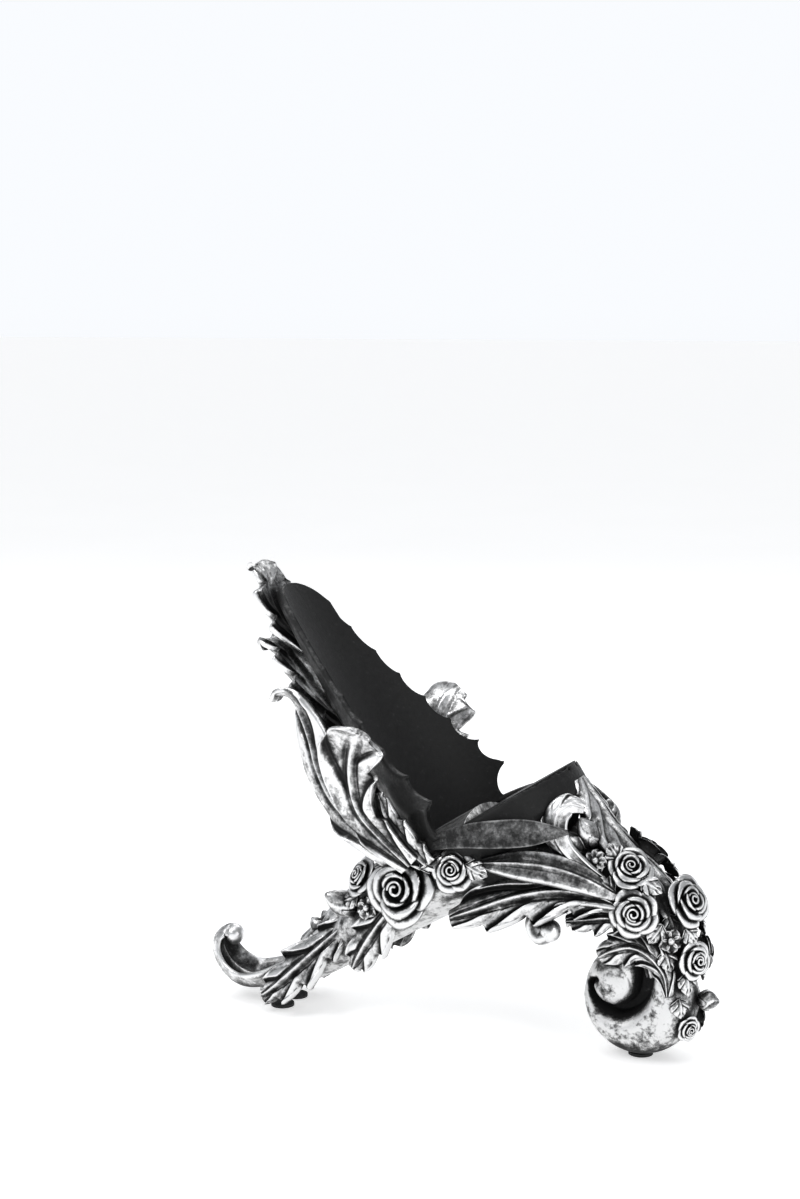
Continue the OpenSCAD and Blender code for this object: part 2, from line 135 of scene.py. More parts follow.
def tube_grid(rings, wear):
    """A closed skin over rings of points."""
    n, m = rings.shape[:2]
    v = np.concatenate([rings.reshape(-1, 3), rings[0].mean(0)[None], rings[-1].mean(0)[None]])
    w = np.broadcast_to(wear, (n, m)).ravel()
    w = np.concatenate([w, [w[0], w[-1]]])
    i, j = np.meshgrid(np.arange(n - 1), np.arange(m), indexing="ij")
    a = (i * m + j).ravel()
    b = (i * m + (j + 1) % m).ravel()
    walls = np.stack([a, b, b + m, a + m], 1)
    caps = []
    last = (n - 1) * m
    for j in range(m):
        k = (j + 1) % m
        caps.append([n * m, k, j])
        caps.append([n * m + 1, last + j, last + k])
    return v, [list(f) for f in walls] + caps, w, np.zeros(len(walls) + len(caps), int)


def place(parts, at, normal):
    """Moves parts made with +Z outwards to a point and a direction."""
    n = unit(np.array(normal, float))
    x = unit(np.cross([0, 1, 0.01], n))
    axes = np.stack([x, np.cross(n, x), n])
    return [(part[0] @ axes + np.array(at, float),) + tuple(part[1:]) for part in parts]


def mirrored(parts):
    """The same parts on the other side of the rack."""
    flip = np.array([1, -1, 1])
    return [(part[0] * flip, [list(f)[::-1] for f in part[1]]) + tuple(part[2:]) for part in parts]


def both(parts):
    """Each part followed by its mirror image."""
    return [q for p in parts for q in (p, *mirrored([p]))]


def lowered(parts, base, share):
    """Parts pressed down to a share of their height above a base."""
    out = []
    for part in parts:
        v = part[0].copy()
        v[:, 2] = base + (v[:, 2] - base) * share
        out.append((v,) + tuple(part[1:]))
    return out


def piece(name, parts, nodes, material, inner=None, slot="antique_silver"):
    """One object made of parts, which takes the place of CAD nodes."""
    verts, faces, wear, index = [], [], [], []
    base = 0
    for v, f, r, k in parts:
        verts.append(v)
        faces += [[int(q) + base for q in face] for face in f]
        wear.append(np.broadcast_to(r, (len(v),)))
        index.append(k)
        base += len(v)
    v = np.concatenate(verts)
    v[:, 2] = np.maximum(v[:, 2], TABLE_Z)
    v = (v + np.array([SEAT_X, 0, 0])) * MM
    mesh = bpy.data.meshes.new(name)
    mesh.from_pydata(v.tolist(), [], faces)
    mesh.polygons.foreach_set("use_smooth", [True] * len(mesh.polygons))
    a = mesh.attributes.new("wear", "FLOAT", "POINT")
    a.data.foreach_set("value", np.clip(np.concatenate(wear), 0, 1).astype(np.float32))
    mesh.materials.append(material)
    if inner is not None:
        mesh.materials.append(inner)
        mesh.polygons.foreach_set("material_index", np.concatenate(index).astype(np.int32))
    mesh.update()
    obj = bpy.data.objects.new(name, mesh)
    bpy.context.collection.objects.link(obj)
    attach(obj, "root")
    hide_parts(*nodes)


def pair(name, parts, material, **options):
    """A right piece and its mirror image, in place of the two nodes of that name."""
    piece(name + "_right_look", parts, [name + "_right"], material, **options)
    piece(name + "_left_look", mirrored(parts), [name + "_left"], material, **options)


# ---------- leaves ----------
LOBE_START = 0.12    # how much of the first lobe is already past at the leaf's root
FULL_HALF = 11       # half width at which the relief has its full height
UNDER_WEAR = 0.42
LEVEL = ((0, 1, 0), (0, 1, 0))           # sideways direction of what lies on the middle plane
PLAIN_EDGES = dict(plus=(0, 0, 0), minus=(0, 0, 0))


def saw(u):
    """Profile of overlapping lobes: a long rise, a rim, then a steep drop under the next one."""
    return np.clip(u / 0.8, 0, 1) ** 0.6 * (1 - 0.95 * smooth(u, 0.84, 0.99))


def lobed_edge(T, A, lobes, lean, cut, veins):
    """One half of a leaf: height of its lobes, share of the width left by the cuts, rims and gaps."""
    p = lobes * (T - lean * A) + LOBE_START
    u = p - np.floor(p)
    body = saw(u)
    pe = lobes * (T - lean) + LOBE_START
    edge = saw(pe - np.floor(pe))
    fade = smooth(T, 0.0, 0.12) * (1 - smooth(T, 0.93, 1.0))
    inside = smooth(A, 0.08, 0.35)
    swell = 2.2 * inside * (0.4 + 0.6 * A) * (body - 0.6)
    vein = 0.5 * veins * bump(u, 0.45, 0.09) * inside * (1 - smooth(A, 0.75, 0.95))
    bead = 0.7 * bump(A, 0.93, 0.08) * body
    width = 1 - cut * (1 - edge) * A ** 2 * fade
    rim = bump(u, 0.8, 0.1) * inside
    gap = (bump(u, 0.0, 0.05) + bump(u, 1.0, 0.07)) * inside
    return swell - vein + bead, width, rim, gap


def blade(path, side, half, out=1, cup=0.2, thick=2.6, nt=110, nq=44, plus=(4, 0.3, 0.3),
          minus=(4, 0.3, 0.3), relief=1.0, rib=1.0, veins=0.5, calm=0.72, plain=False, body_wear=0.46):
    """An acanthus leaf along a path. plus and minus are the two edges: number of lobes, how far
    each lobe leans towards the tip, and how deep the cuts between lobes are. cup bends the edges
    back, and the relief fades at calm."""
    t = np.linspace(0, 1, nt)
    q = np.linspace(-1, 1, nq * 2 + 1)
    c, s, n = frames(path, side, t)
    n = n * out
    h = np.maximum(spline(half, t)[:, 0], 0.5)
    T, Q = np.meshgrid(t, q, indexing="ij")
    A = np.abs(Q)
    height, width, rim, gap = np.zeros_like(T), np.ones_like(T), np.zeros_like(T), np.zeros_like(T)
    for sign, (lobes, lean, cut) in ((1, plus), (-1, minus)):
        mask = (Q * sign) > 0
        if lobes:
            edge = lobed_edge(T, A, lobes, lean, cut, veins)
            height, width, rim, gap = (np.where(mask, new, old)
                                       for new, old in zip(edge, (height, width, rim, gap)))
        elif not plain:
            height = np.where(mask, 1.1 * bump(A, 0.88, 0.14) - 0.9 * bump(A, 0.45, 0.25), height)
    height = height + rib * (0.9 * bump(Q, 0, 0.1) - 0.55 * bump(A, 0.2, 0.08))
    tip = smooth(t, calm, calm + 0.16)
    scale = (np.clip(h / FULL_HALF, 0.35, 1.1) * (1 - 0.75 * tip))[:, None] * relief
    height = height * scale
    H = h[:, None]
    turned = cup * H * A ** 2
    across = 0.3 + 0.7 * np.sqrt(np.clip(1 - A ** 4, 0, 1))
    along = 0.55 + 0.45 * np.sin(math.pi * np.clip(T + 0.15, 0, 1))
    e = thick * across * along
    centre = c[:, None] + s[:, None] * (H * width * Q)[..., None]
    top = centre + n[:, None] * (e / 2 + height - turned)[..., None]
    under = centre - n[:, None] * (e / 2 - 0.55 * height + turned)[..., None]
    wear = (body_wear + 0.2 * height / np.maximum(scale, 0.2) + 0.12 * tip[:, None]
            + 0.26 * bump(A, 0.97, 0.07) + 0.24 * rim - 0.4 * gap)
    if out > 0:
        return closed_grid(top[:, ::-1], under[:, ::-1], wear[:, ::-1], UNDER_WEAR)
    return closed_grid(top, under, wear, UNDER_WEAR)


def limb(path, across, wide, side=LEVEL, nt=90, fn=72, flutes=0, depth=0.0, wear=0.5):
    """A rounded limb along a path, plain or fluted."""
    t = np.linspace(0, 1, nt)
    c, s, n = frames(path, side, t)
    g = np.linspace(0, PI2, fn, endpoint=False)
    G = np.broadcast_to(g, (nt, fn))
    f = np.cos(flutes * G) if flutes else np.zeros((nt, fn))
    r = 1 + depth * f
    a, b = spline(across, t), spline(wide, t)
    up = n[:, None] * (a * np.cos(G) * r)[..., None]
    sideways = s[:, None] * (b * np.sin(G) * r)[..., None]
    return tube_grid(c[:, None] + up + sideways, wear + 0.3 * f)


# ---------- flowers ----------
SWIRL = 0.1          # share of its radius by which one end of a petal lies out, and the other in
LAYER_TURN = 0.6     # turn of each layer of petals against the one inside it
# Layers of petals: number, radius at the base and at the lip, height, angle covered, roll of
# the lip and its point, over the rose's radius.
BUDDING = [(3, 0.3, 0.38, 0.6, 2.5, 0.05, 0.02), (3, 0.42, 0.6, 0.5, 2.6, 0.1, 0.06),
           (5, 0.54, 0.88, 0.30, 1.8, 0.13, 0.1)]
FULL_BLOWN = [(3, 0.33, 0.46, 0.62, 2.6, 0.04, 0.12), (3, 0.5, 0.72, 0.56, 2.5, 0.09, 0.16),
              (4, 0.62, 0.98, 0.34, 2.0, 0.12, 0.12)]


def petal(base_r, lip_r, low, high, turn, span, thick, roll, point, nv=12, nw=22):
    """A petal round a flower's axis, which goes from base_r and low to lip_r and high."""
    v, w = np.meshgrid(np.linspace(0, 1, nv), np.linspace(-1, 1, nw), indexing="ij")
    side = 1 - 0.5 * np.abs(w) ** 2.6 + point * bump(w, 0, 0.25)
    rise = v * side
    lip = smooth(v, 0.72, 1.0)
    r = (base_r + (lip_r - base_r) * rise ** 1.4) * (1 + SWIRL * w) + roll * lip
    z = low + (high - low) * np.sin(np.clip(rise, 0, 1.1) * math.pi * 0.5) - 0.55 * roll * lip ** 2
    g = turn + w * span / 2
    outer = polar(r + thick / 2, g, z - 0.25 * thick)
    inner = polar(r - thick / 2, g, z + 0.25 * thick)
    return closed_grid(inner, outer, 0.12 + 0.78 * smooth(v, 0.7, 0.97), 0.34 + 0.45 * smooth(v, 0.55, 1.0))


def ball(r, at, squash, n, wear):
    a = np.linspace(0.02, math.pi - 0.02, n)
    g = np.linspace(0, PI2, n * 2, endpoint=False)
    A, G = np.meshgrid(a, g, indexing="ij")
    return tube_grid(polar(r * np.sin(A), G, -r * squash * np.cos(A)) + np.array(at), wear)


def rose(d, seed, layers=BUDDING):
    """A rose: a ball under it, a spiral heart, and layers of petals from the inside out."""
    rng = np.random.default_rng(seed)
    R = d / 2
    t = np.linspace(0, 1, 70)
    v = np.linspace(0, 1, 8)[:, None]
    g = t * PI2 * 1.35 + rng.uniform(0, 6)
    heart = polar(R * (0.06 + 0.19 * t) + R * 0.03 * v ** 2, g, R * (0.05 + (0.60 - 0.07 * t) * v))
    half_thick = polar(R * 0.035, g, np.zeros_like(g))
    parts = [ball(0.72 * R, (0, 0, -0.1 * R), 0.5, 16, 0.24),
             closed_grid(heart - half_thick, heart + half_thick,
                         0.3 + 0.6 * smooth(v, 0.7, 1), 0.3 + 0.55 * smooth(v, 0.6, 1))]
    start = rng.uniform(0, 6)
    for i, (count, base, lip, high, span, roll, point) in enumerate(layers):
        for k in range(count):
            turn = start + i * LAYER_TURN + k * PI2 / count + rng.uniform(-0.12, 0.12)
            lip_r = lip * R * rng.uniform(0.96, 1.05)
            top = high * R * rng.uniform(0.93, 1.05)
            parts.append(petal(base * R, lip_r, -0.2 * R, top, turn, span, 0.075 * R, roll * R, point))
    return parts


def blossom(d, petals):
    """A small open flower with a round heart."""
    parts = [ball(0.15 * d, (0, 0, 0.1 * d), 0.9, 12, 0.75), ball(0.26 * d, (0, 0, -0.12 * d), 0.6, 12, 0.2)]
    v, w = np.meshgrid(np.linspace(0, 1, 14), np.linspace(-1, 1, 15), indexing="ij")
    x = d * (0.1 + 0.4 * v)
    y = 0.25 * d * np.sin(math.pi * np.clip(v * 0.86 + 0.12, 0, 1)) ** 0.7 * w
    crease = 0.05 * bump(w, 0, 0.25) * smooth(v, 0.1, 0.4)
    z = d * (0.02 + 0.10 * v + 0.07 * np.abs(w) ** 2 - crease - 0.12 * smooth(v, 0.75, 1))
    wear = 0.35 + 0.5 * smooth(np.abs(w), 0.4, 0.9) + 0.4 * smooth(v, 0.7, 1)
    for k in range(petals):
        c, s = math.cos(k * PI2 / petals), math.sin(k * PI2 / petals)
        top = np.stack([x * c - y * s, x * s + y * c, z], -1)
        parts.append(closed_grid(top, top - np.array([0, 0, 0.12 * d]), wear, 0.3))
    return parts


def bud(d, l, turn=0):
    """A closed bud wrapped in three petals, with four sepals."""
    Z, G = np.meshgrid(np.linspace(0, 1, 30), np.linspace(0, PI2, 60, endpoint=False), indexing="ij")
    wrap = ((G + 2.2 * Z + turn) * 3 / PI2) % 1.0
    r = 0.5 * d * np.sin(math.pi * np.clip(Z * 0.93 + 0.04, 0, 1) ** 0.8) ** 0.75
    r = r * (1 - 0.14 * (1 - wrap) ** 3 * smooth(Z, 0.08, 0.3))
    parts = [tube_grid(polar(r, G, -0.2 * l + 1.2 * l * Z), 0.3 + 0.5 * wrap ** 2)]
    v, w = np.meshgrid(np.linspace(0, 1, 12), np.linspace(1, -1, 9), indexing="ij")
    r = 0.5 * d * (0.35 + 0.75 * np.sin(math.pi * (0.1 + 0.45 * v)))
    z = l * (-0.22 + 0.62 * v)
    for k in range(4):
        g = turn + k * PI2 / 4 + w * 0.55 * (1 - v) ** 0.7
        wear = 0.45 + 0.3 * smooth(np.abs(w), 0.4, 1)
        parts.append(closed_grid(polar(r - 0.1 * d, g, z), polar(r, g, z), 0.4, wear))
    return parts


def sprig(at, way, normal):
    """A small serrated leaf with a midrib: its middle, its length and direction, what it faces."""
    at, way, normal = (np.array(x, float) for x in (at, way, normal))
    up = unit(normal - (normal @ unit(way)) * unit(way))
    path = [at - way / 2 - up * 0.3, at + up * 0.5, at + way / 2 - up * 0.25]
    side = np.cross(unit(way), up)
    edge = (3, 0.35, 0.25)
    return blade(path, [side, side], [0.7, 4.4, 3.52, 0.3], cup=0.18, thick=1.5, nt=60, nq=18,
                 plus=edge, minus=edge)


# ---------- materials ----------
class Nodes:
    """A material with a principled shader, and short ways to add nodes to it."""
    def __init__(self, name):
        self.material = bpy.data.materials.new(name)
        self.material.use_nodes = True
        self.tree = self.material.node_tree
        self.tree.nodes.clear()
        self.out = self.add("ShaderNodeOutputMaterial")
        self.shader = self.add("ShaderNodeBsdfPrincipled")
        self.link(self.shader.outputs[0], self.out.inputs[0])

    def add(self, kind, **values):
        node = self.tree.nodes.new(kind)
        for key, value in values.items():
            if hasattr(node, key):
                setattr(node, key, value)
            else:
                node.inputs[key].default_value = value
        return node

    def link(self, a, b):
        self.tree.links.new(a, b)

    def math(self, kind, a, b, clamp=False):
        node = self.add("ShaderNodeMath", operation=kind, use_clamp=clamp)
        for i, x in enumerate((a, b)):
            if isinstance(x, (int, float)):
                node.inputs[i].default_value = x
            else:
                self.link(x, node.inputs[i])
        return node.outputs[0]

    def noise(self, scale, detail, rough):
        where = self.add("ShaderNodeTexCoord")
        node = self.add("ShaderNodeTexNoise", Scale=scale, Detail=detail, Roughness=rough)
        self.link(where.outputs["Object"], node.inputs["Vector"])
        return node.outputs["Fac"]

    def ramp(self, factor, stops):
        """A grey ramp from (place, value) stops."""
        node = self.add("ShaderNodeValToRGB")
        fill_ramp(node.color_ramp, [(spot, (value, value, value, 1)) for spot, value in stops])
        self.link(factor, node.inputs[0])
        return node.outputs[0]

    def bump(self, height, strength, distance):
        node = self.add("ShaderNodeBump", Strength=strength, Distance=distance)
        self.link(height, node.inputs["Height"])
        self.link(node.outputs[0], self.shader.inputs["Normal"])


def fill_ramp(ramp, stops):
    while len(ramp.elements) < len(stops):
        ramp.elements.new(0.5)
    for element, (spot, colour) in zip(ramp.elements, stops):
        element.position = spot
        element.color = colour


def silver(name, bright=1.0, shift=0.0, grain=0.4, mottling=1.7, rough=0.0, reach=0.009):
    """Antique silver: bright where it is worn, grey between, black where the stain lies in the
    recesses. shift adds wear all over, and reach is how far away a wall still shades a recess."""
    m = Nodes(name)
    wear = m.add("ShaderNodeAttribute", attribute_name="wear").outputs["Fac"]
    hollow = m.add("ShaderNodeAmbientOcclusion", samples=12, Distance=reach).outputs["AO"]
    mottle = m.noise(190, 6, 0.68)
    fine = m.noise(900, 3, 0.6)
    worn = m.math("MULTIPLY", m.math("SUBTRACT", mottle, 0.5), mottling)
    speck = m.math("MULTIPLY", m.math("SUBTRACT", fine, 0.5), 0.5)
    exposed = m.math("MULTIPLY", m.math("SUBTRACT", hollow, 0.66), 1.35)
    total = m.math("ADD", m.math("ADD", wear, exposed), m.math("ADD", worn, speck))
    total = m.math("ADD", total, shift, clamp=True)
    colour = [(0.0, 0.006), (0.28, 0.018), (0.48, 0.075 * bright), (0.7, 0.26 * bright),
              (0.98, 0.8 * bright)]
    roughness = [(0.0, 0.62 + rough), (0.4, 0.46 + rough), (0.9, 0.28 + rough)]
    m.link(m.ramp(total, colour), m.shader.inputs["Base Color"])
    m.link(m.ramp(total, [(0.0, 0.35), (0.4, 0.8), (0.7, 0.95)]), m.shader.inputs["Metallic"])
    m.link(m.ramp(total, roughness), m.shader.inputs["Roughness"])
    m.bump(m.math("ADD", mottle, m.math("MULTIPLY", fine, 0.5)), grain, 0.0006)
    return m.material


def black(name, tone=0.012, rough=0.38):
    """Black paint, slightly grainy, rubbed grey in places."""
    m = Nodes(name)
    grain = m.noise(420, 5, 0.7)
    colour = [(0.3, tone * 0.6), (0.62, tone), (0.78, tone * 3.5)]
    m.link(m.ramp(grain, colour), m.shader.inputs["Base Color"])
    m.link(m.ramp(grain, [(0.3, rough), (0.75, rough + 0.2)]), m.shader.inputs["Roughness"])
    m.bump(grain, 0.5, 0.0008)
    m.shader.inputs["Specular IOR Level"].default_value = 0.22
    return m.material


def felt(name):
    m = Nodes(name)
    fuzz = m.noise(2600, 4, 0.7)
    m.link(m.ramp(fuzz, [(0.3, 0.008), (0.75, 0.04)]), m.shader.inputs["Base Color"])
    m.shader.inputs["Roughness"].default_value = 0.95
    m.bump(fuzz, 0.7, 0.0004)
    return m.material


SILVER = silver("antique_silver")
SILVER_ROSE = silver("antique_silver_flower", shift=-0.08, grain=0.3, mottling=1.8, rough=0.02, reach=0.0045)
SILVER_PLAIN = silver("antique_silver_plain", bright=0.9, shift=0.02, grain=0.35, mottling=2.2, rough=0.06)
SILVER_BRUSHED = silver("antique_silver_brushed", bright=0.9, shift=-0.18, grain=0.6, mottling=3.2,
                        rough=0.12)
SILVER_DIM = silver("antique_silver_rubbed", bright=0.6, shift=-0.1, mottling=0.9)
SILVER_DARK = silver("antique_silver_dark", bright=0.4, shift=-0.34, grain=1.0, mottling=1.6, rough=0.15)
BLACK = black("black_paint")
FELT = felt("felt")


# ---------- structure ----------
def coat(node, material):
    """Gives its material to a CAD node that is shown as it is."""
    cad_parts[node].data.materials.clear()
    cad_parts[node].data.materials.append(material)


def hub_look():
    """The CAD hub, remeshed and smoothed so that its limbs flow into each other."""
    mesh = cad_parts["hub"].data.copy()
    mesh.name = "hub_look"
    mesh.materials.clear()
    mesh.materials.append(BLACK)
    obj = bpy.data.objects.new("hub_look", mesh)
    bpy.context.collection.objects.link(obj)
    remesh = obj.modifiers.new("remesh", "REMESH")
    remesh.mode = "VOXEL"
    remesh.voxel_size = 1.1 * MM
    soft = obj.modifiers.new("soft", "SMOOTH")
    soft.factor = 0.6
    soft.iterations = 10
    bpy.context.view_layer.update()
    done = bpy.data.meshes.new_from_object(obj.evaluated_get(bpy.context.evaluated_depsgraph_get()))
    obj.modifiers.clear()
    obj.data = done
    done.polygons.foreach_set("use_smooth", [True] * len(done.polygons))
    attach(obj, "root")
    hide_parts("hub")


CRADLE_R = 41.6      # inside radius, round the bottle
CRADLE_WALL = 4.5
CRADLE_H = 124.0     # height along the bottle
CRADLE_TOP = 22      # height of its rounded top
TOP_HALF = 0.46      # half width where the rounded top begins, over the radius


def cradle_look():
    """The wall behind the bottle: a black inside, a leafy silver outside, and a ragged edge."""
    w = np.linspace(0, 1, 150)
    a = np.linspace(-1, 1, 120)
    height = w * CRADLE_H
    shoulder = CRADLE_H - CRADLE_TOP
    low = np.interp(height, [0, 16, 50, 80, shoulder], [0.9, 0.97, 0.8, 0.62, TOP_HALF])
    top = np.clip((height - shoulder) / CRADLE_TOP, 0, 1)
    half = np.where(top > 0, TOP_HALF * np.sqrt(np.clip(1 - top ** 2, 0, 1)), low)
    ragged = 1 - 0.06 * np.abs(np.sin(w * math.pi * 9)) ** 0.5 * (1 - smooth(w, 0.85, 1.0))
    spread = np.degrees(np.arcsin(np.clip(half * ragged, 0.004, 0.985)))
    W, A = np.meshgrid(height, a, indexing="ij")
    G = A * spread[:, None]
    leafy = 0.9 * np.sin(A * 9 * math.pi / 2) ** 2 + 0.5 * np.abs(np.sin(W / 11 + np.abs(A) * 3))
    thick = CRADLE_WALL * (1 - 0.5 * np.abs(A) ** 6)
    outer = round_bottle(G, CRADLE_R + thick + (leafy - 0.6) * (1 - np.abs(A) ** 4) * 0.9, W)
    inner = round_bottle(G, np.full_like(G, CRADLE_R), W)
    back = 1 - smooth(np.abs(A), 0.45, 0.8)
    part = closed_grid(outer, inner, 0.02 + 0.42 * leafy * back, 0.2)
    piece("cradle_look", [part], ["cradle_shell"], SILVER_DIM, inner=BLACK, slot="black_resin")


def legs_look():
    """The fluted front leg, and the rear leg with the crest on its back."""
    path = [[7, 0, 79], [24, 0, 78.5], [41, 0, 72.5], [54, 0, 62], [63.5, 0, 49.5], [67.5, 0, 37]]
    front = limb(path, [14, 12.5, 11.2, 10.4, 9.6, 9.6], [25, 21, 17, 15, 13, 12],
                 flutes=18, depth=0.035, wear=0.38)
    piece("front_leg_look", [front], ["front_leg"], SILVER_PLAIN)
    path = [[-6, 0, 80], [-28, 0, 67], [-50, 0, 52], [-72, 0, 34.5], [-90, 0, 20.5], [-107, 0, 8.6]]
    rear = limb(path, [18, 17, 15, 11.5, 8.5, 4], [32, 29, 22, 15, 11, 6], wear=0.46)
    path = [[-42, 0, 72], [-58, 0, 64.5], [-68.5, 0, 54.5], [-78.5, 0, 44.5], [-87, 0, 36.5], [-96, 0, 28.5]]
    crest = blade(path, LEVEL, [8, 13, 13, 11, 9, 5], cup=0.5, thick=4, nt=150, nq=50,
                  plus=(5, 0.3, 0.4), minus=(5, 0.3, 0.4), relief=1.5, calm=0.95)
    piece("rear_leg_look", [rear, crest], ["rear_leg"], SILVER_PLAIN)


VOLUTE_X, VOLUTE_Z, VOLUTE_R = 56.0, 24.4, 23.2
VOLUTE_HALF = 13.5       # half its width
RIM_ROUND = 10.5         # how far in from the rim its faces still curve
RIM_POWER = 2.1
EYE_X, EYE_Z, EYE_R = -10.2, 6.6, 9.0    # the raised eye, from the wheel's centre
CHANNEL_LIP = 5.0        # radius of the rounded lip beside the channel
CHANNEL_SINK = 5.5       # how far the channel's floor lies below the lip
LEAST_HALF = 1.2         # half width left under the channel


def volute_look():
    """A wheel of metal with a scroll channel cut in each side, from the top round to the eye."""
    channel = [[5, 22], [4.5, 17], [4, 11], [3, 4], [-0.8, -1.6], [-6.8, -4.6], [-12.8, -3.2], [-17, 0.6],
               [-18.6, 5], [-15.8, 7]]
    t = np.linspace(0, 1, 260)
    line, half = spline(channel, t), spline([8.5, 8, 7.6, 7, 6, 5, 4, 3, 2.2, 1.4], t)[:, 0] / 2
    nr, ng = 110, 260
    r = VOLUTE_R * np.sin(np.linspace(0, 1, nr) * math.pi / 2)
    R, G = np.meshgrid(r, np.linspace(0, PI2, ng, endpoint=False), indexing="ij")
    X, Z = R * np.cos(G), R * np.sin(G)
    away = (np.hypot(X[..., None] - line[:, 0], Z[..., None] - line[:, 1]) - half).min(-1)
    rim = np.clip((VOLUTE_R - R) / RIM_ROUND, 0, 1)
    y = VOLUTE_HALF * (1 - (1 - rim) ** RIM_POWER) ** (1 / RIM_POWER)
    eye = np.hypot(X - EYE_X, Z - EYE_Z)
    y = y - 1.6 * smooth(eye, 12, 6) + 2.2 * np.sqrt(np.clip(1 - (eye / EYE_R) ** 2, 0, 1))
    inside = np.clip(away / CHANNEL_LIP, 0, 1)
    lip = CHANNEL_LIP * (1 - np.sqrt(1 - (1 - inside) ** 2))
    y = np.where(away > 0, y - lip, y - CHANNEL_LIP - CHANNEL_SINK * smooth(-away, 0, 1.6))
    y = np.maximum(y, LEAST_HALF * rim ** 0.5)
    y[-1] = 0
    wear = np.where(away > 0, 0.5 + 0.3 * bump(away, 1.6, 1.6) + 0.1 * inside, 0.1)
    near, far = (np.stack([VOLUTE_X + X, side * y, VOLUTE_Z + Z], -1).reshape(-1, 3) for side in (-1, 1))
    n = nr * ng
    faces = []
    for i in range(nr - 1):
        for j in range(ng):
            k = (j + 1) % ng
            a, b, c, d = i * ng + j, i * ng + k, (i + 1) * ng + k, (i + 1) * ng + j
            faces.append([a, d, c, b])
            c, d = (c, d) if i == nr - 2 else (c + n, d + n)
            faces.append([a + n, b + n, c, d])
    wear = np.concatenate([wear.ravel()] * 2)
    part = (np.concatenate([near, far]), faces, wear, np.zeros(len(faces), int))
    piece("volute_look", [part], ["front_volute"], SILVER_BRUSHED)


coat("seat_disc", BLACK)
coat("foot_pads", FELT)
hub_look()
cradle_look()
legs_look()
volute_look()


# ---------- leaves of the cradle ----------
def back_leaf(name, rise, half, lobes, relief):
    """A leaf up the cradle's back, through distances from the bottle's axis and heights along it."""
    path = [round_bottle(0, r, w) for r, w in rise]
    edge = (lobes, 0.28, 0.35)
    leaf = blade(path, [[0, -1, 0]] * 2, half, plus=edge, minus=edge, relief=relief)
    piece(name + "_look", [leaf], [name], SILVER)


back_leaf("crown_leaf", [[49, 94], [52, 107], [53, 119], [50.5, 129], [49, 134], [50.5, 138], [54, 137.5]],
          [10, 16, 17, 14, 10, 7, 3], 4, 1.4)
back_leaf("back_leaf", [[46, 40], [51, 58], [56, 76], [58, 91], [59.5, 101], [63, 108], [66, 105]],
          [12, 19, 20, 18, 14, 10, 4], 5, 1.5)
back_leaf("tail_leaf", [[44, -4], [49, 9], [52, 25], [54, 42], [58, 53], [63, 58], [66, 54]],
          [12, 18, 21, 19, 14, 9, 4], 5, 1.5)
rear_leaf = blade([[-34, -33, 78], [-54, -30, 89], [-67, -26, 98], [-75.5, -23, 110], [-80, -21, 122],
                   [-84.5, -20, 132], [-90, -20, 139], [-95.5, -20, 140], [-98, -20, 137]],
                  [[0.7, -0.1, 0.7], [0.7, -0.2, 0.5], [0.7, -0.3, 0.5], [0.3, -0.8, 0.3], [0, -1, 0]],
                  [7, 9.5, 10.5, 10.5, 10, 9, 8, 7, 5], nt=180, nq=54, cup=0.1, thick=4.8,
                  plus=(2, 0.33, 0.2), minus=(2, 0.33, 0.2), relief=1.25, veins=0.15, calm=0.6,
                  body_wear=0.34)
pair("rear_leaf", [rear_leaf], SILVER)
side_leaf = blade([[-28, -40, 79], [-39, -42, 89.5], [-48, -43.5, 100], [-51, -44.5, 111.5],
                   [-50.5, -46.5, 121.5], [-47.5, -49.5, 130], [-44.5, -52, 133.5]],
                  [[0.8, -0.1, 0.6], [0.95, -0.1, 0.3], [1, 0, 0]], [5, 7.5, 9.5, 12, 13.5, 13, 4.5],
                  nt=200, nq=60, cup=-0.12, thick=4.6, plus=(3, 0.3, 0.4), minus=(2, 0.35, 0.15),
                  relief=1.35, veins=0.15, calm=0.7, body_wear=0.33)
pair("side_leaf", [side_leaf], SILVER)
side_lobe = blade([[-22, -37, 79], [-30, -40, 88], [-37, -42, 98], [-41, -42.5, 107.5]],
                  [[0.8, -0.3, 0.5]] * 2, [5, 8, 6.5, 2.5], cup=0.1, plus=(3, 0.3, 0.45),
                  minus=(2, 0.3, 0.1), relief=1.7)
pair("side_lobe", [side_lobe], SILVER)
collar = blade([[-22, -36, 87], [-6, -39.5, 92.5], [8, -39.5, 95], [21, -35.5, 96], [33, -27, 95.5]],
               [[0, 0.25, 1]] * 2, [2.5, 4.5, 5.5, 5, 1], out=-1, cup=-0.1, thick=4, **PLAIN_EDGES,
               relief=0.4, rib=0, plain=True)
pair("collar", [collar], SILVER_DARK, slot="stippled_silver")

